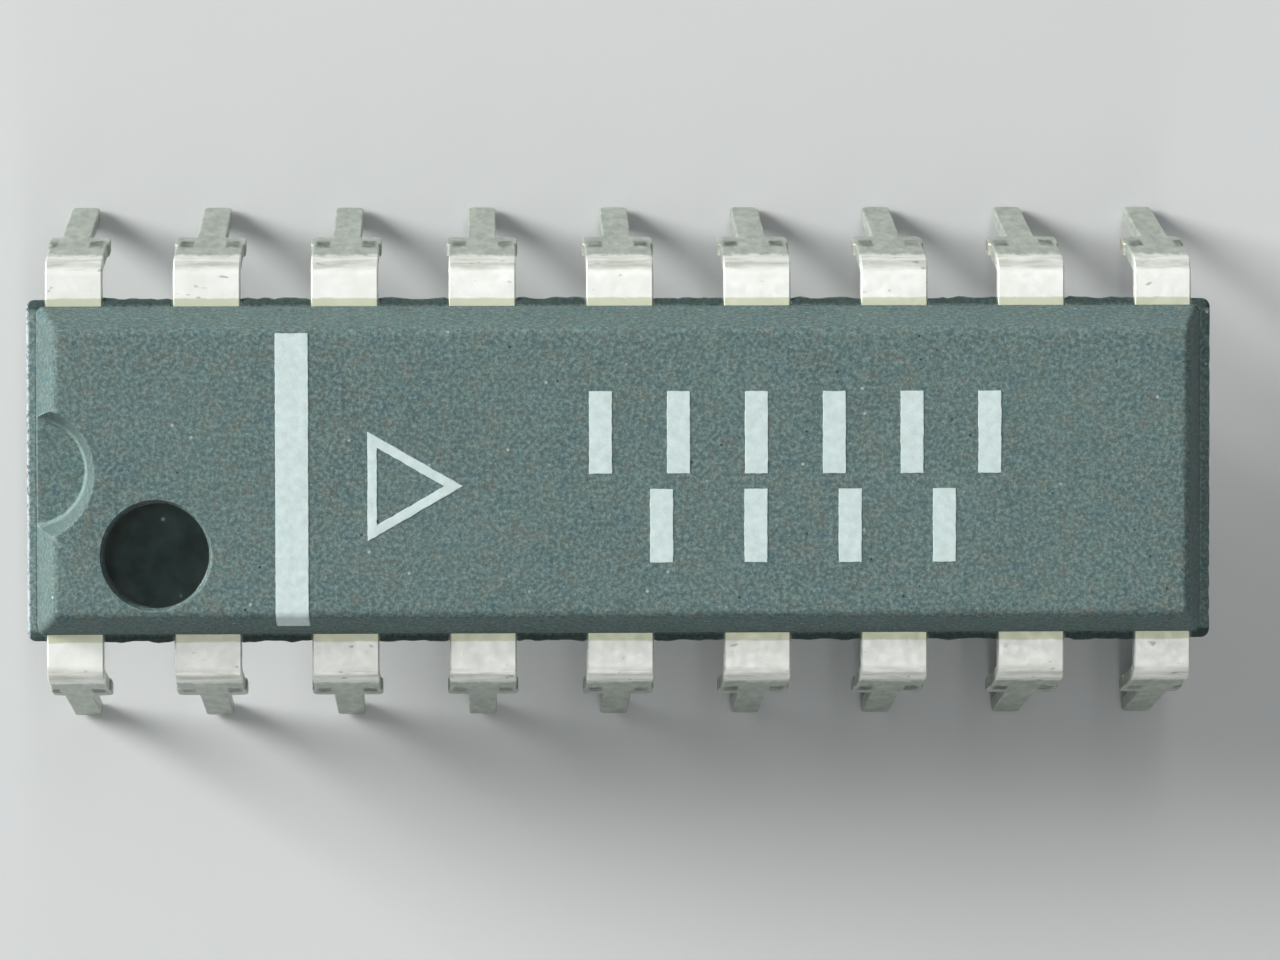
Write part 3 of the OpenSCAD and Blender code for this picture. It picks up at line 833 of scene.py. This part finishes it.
def print_tree():
    """Repeats a printed mark along a row, and lets its edges waver as a stamped print's do."""
    tree, given = new_tree("row_of_prints", (
        ("Mark", "Geometry"), ("Count", "Int"), ("Spacing", "Float"), ("Start", "Vector"), ("Ragged", "Float"),
        ("Seed", "Float"), ("Finish", "Material")), "Print")
    step = add(tree, "ShaderNodeCombineXYZ", {0: given["Spacing"]})
    row = add(tree, "GeometryNodeMeshLine", {
        "Count": given["Count"], "Start Location": given["Start"], "Offset": step.outputs[0]})
    marks = add(tree, "GeometryNodeInstanceOnPoints", {"Points": row.outputs[0], "Instance": given["Mark"]})
    whole = add(tree, "GeometryNodeRealizeInstances", {0: marks.outputs[0]})
    marks = wavered(tree, whole.outputs[0], given["Ragged"], given["Seed"])
    finished = add(tree, "GeometryNodeSetMaterial", {"Geometry": marks, "Material": given["Finish"]})
    add(tree, "NodeGroupOutput", {0: finished.outputs[0]})
    return tree


def frame_plate(outer, inner, rims):
    """A flat frame between two outlines with as many points each."""
    count = len(outer)
    rows = [[Vector((p.x, p.y, -depth)) for p in inset(outer, distance)] for distance, depth in rims]
    rows += [[Vector((p.x, p.y, -depth)) for p in inset(inner, -distance)] for distance, depth in reversed(rims)]
    verts = [point for row in rows for point in row]
    total = len(rows)
    faces = []
    for k in range(total):
        at, below = k * count, (k + 1) % total * count
        faces += [(at + i, below + i, below + (i + 1) % count, at + (i + 1) % count) for i in range(count)]
    return verts, faces


def bar(w, h):
    """A bar of ink film, w wide and h high."""
    corners = [Vector(p) for p in ((-w / 2, -h / 2), (w / 2, -h / 2), (w / 2, h / 2), (-w / 2, h / 2))]
    return plate(dense(corners), film_rims)


def triangle(r, points_a_side):
    """A triangle with its corners at that radius, one of them on the right."""
    corners = [Vector((r * math.cos(a), r * math.sin(a))) for a in (0, math.tau / 3, 2 * math.tau / 3)]
    return [
        corners[i].lerp(corners[(i + 1) % 3], j / points_a_side) for i in range(3) for j in range(points_a_side)
    ]


def printed_marks(tree):
    """Plain shapes of ink: a triangle drawn as an outline, and two rows of bars."""
    triangle_side, stroke, points_a_side = 2.0, 0.17, 56
    bar_w, long_bar, short_bar = 0.42, 1.5, 1.34
    raggedness, first_seed = 0.035, 5.0
    corner_r = triangle_side / math.sqrt(3)
    outer, inner = triangle(corner_r, points_a_side), triangle(corner_r - 2 * stroke, points_a_side)
    # Each row: its name, its mark, the middle of the row, how many marks and how far apart
    rows = (
        ("triangle", frame_plate(outer, inner, film_rims), (-3.77 - corner_r / 4, -0.24), 1, 0.0),
        ("long", bar(bar_w, long_bar), (3.15, 0.73), 6, 1.42),
        ("short", bar(bar_w, short_bar), (3.29, -0.97), 4, 1.72),
    )
    parts = []
    for i, (name, mark, middle, count, spacing) in enumerate(rows):
        start = (middle[0] - (count - 1) / 2 * spacing, middle[1], top_z)
        mesh = run_tree(tree, name, *mark, {
            "Count": count, "Spacing": spacing, "Start": start, "Ragged": raggedness, "Seed": first_seed + i,
            "Finish": ink,
        })
        parts.append(([v.co.copy() for v in mesh.vertices], [tuple(p.vertices) for p in mesh.polygons]))
    mesh = new_mesh("printed_marks_ink", *joined(parts))
    mesh.materials.append(ink)
    finish_piece("printed_marks_ink", mesh, ["printed_marks"])


def dress_inner_nodes():
    """Gives the pieces that are sealed in the resin their finishes."""
    # Rolled copper alloy is warm and softly bright, with grains of about 0.1 mm
    alloy = plain_finish("bare_copper_alloy", "#a5713f", "#c08a5a", 1.0, 0.35, 0.12)
    # Epoxy filled with silver flakes of 0.01 mm, drawn at 0.06 mm so that they show, is a dull pale grey
    silver_epoxy = plain_finish("silver_filled_epoxy", "#a9a9a2", "#c4c4be", 0.4, 0.45, 0.06)
    # Polished silicon is a dark blue-grey and glossy, and its circuit makes fields of about 0.4 mm
    silicon = plain_finish("polished_silicon", "#3d4650", "#4f5b68", 0.3, 0.12, 0.4)
    # Drawn gold is deep yellow and smooth, and its die lines are drawn at 0.05 mm so that they show
    gold = plain_finish("drawn_gold_wire", "#d9a53c", "#ecc05c", 1.0, 0.2, 0.05)
    finishes = {"die_pad": alloy, "die_adhesive": silver_epoxy, "silicon_die": silicon}
    finishes.update({f"bond_wire_{n}": gold for n in range(1, 2 * leads_per_row + 1)})
    for node, material in finishes.items():
        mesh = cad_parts[node].data
        mesh.materials.clear()
        mesh.materials.append(material)


# Stage

def pale_floor():
    """A wide sheet of pale matt card, with the faint clouds of its pulp, about 9 mm wide."""
    material, tree, shader = new_material("pale_card")
    tree.links.new(painted(tree, "#cccece", "#d0d2d1", noise_at(tree, 9.0)), shader.inputs["Base Color"])
    shader.inputs["Roughness"].default_value = 0.9
    shader.inputs["Specular IOR Level"].default_value = 0.2
    reach, just_below = 2.0, -0.02 * MM
    mesh = bpy.data.meshes.new("floor")
    corners = [(x * reach, y * reach, just_below) for x, y in ((-1, -1), (1, -1), (1, 1), (-1, 1))]
    mesh.from_pydata(corners, [], [(0, 1, 2, 3)])
    mesh.materials.append(material)
    link_object("floor", mesh)


def lamp(name, place, size, watts, spread=180):
    """A soft box aimed at the chip, with its place and size in metres and its spread in degrees."""
    aim = Vector((0, 0, 0.004))
    data = bpy.data.lights.new(name, "AREA")
    data.shape = "RECTANGLE"
    data.size, data.size_y = size
    data.energy = watts
    data.spread = math.radians(spread)
    obj = bpy.data.objects.new(name, data)
    obj.location = place
    obj.rotation_euler = (aim - Vector(place)).to_track_quat("-Z", "Y").to_euler()
    obj.visible_camera = False
    bpy.context.scene.collection.objects.link(obj)


def studio():
    """Soft light low from the left, a long strip overhead that the metal mirrors, and a weak panel opposite."""
    scene = bpy.context.scene
    world = bpy.data.worlds.new("soft_grey_room")
    world.use_nodes = True
    background = world.node_tree.nodes["Background"]
    background.inputs["Color"].default_value = linear("#e4e8ea")
    background.inputs["Strength"].default_value = 0.2
    scene.world = world
    # The grid that narrows this lamp's spread keeps it from burning out the floor in front of it
    lamp("key_from_the_left", (-0.381, 0.162, 0.172), (0.195, 0.195), 0.345, 50)
    lamp("strip_overhead", (0.03, 0, 0.45), (1.2, 0.03), 0.96)
    lamp("panel_on_the_near_side", (-0.03, -0.4, 0.2), (0.1, 0.1), 0.13)
    pale_floor()
    scene.view_settings.view_transform = "Standard"


def photo_camera():
    """The photograph's camera: close above the chip, a little to its left and towards its far side."""
    above_parting = 101.1
    turned = (-2.130, -1.767, -0.092)
    place = Vector((-2.746, 3.570, parting_z + above_parting)) * MM
    data = bpy.data.cameras.new("camera")
    data.sensor_width = 36.0
    data.lens = 153.9
    data.clip_start = 0.005
    data.clip_end = 10
    camera = bpy.data.objects.new("camera", data)
    camera.location = place
    camera.rotation_euler = [math.radians(a) for a in turned]
    bpy.context.scene.collection.objects.link(camera)
    bpy.context.scene.camera = camera


photo_camera()
studio()
epoxy = moulded_epoxy()
polished = polished_epoxy()
tin = tin_plate()
ink = marking_ink()
moulded_body()
forming = form_tree()
stamped_leads(forming)
index_stripe(forming)
printed_marks(print_tree())
dress_inner_nodes()
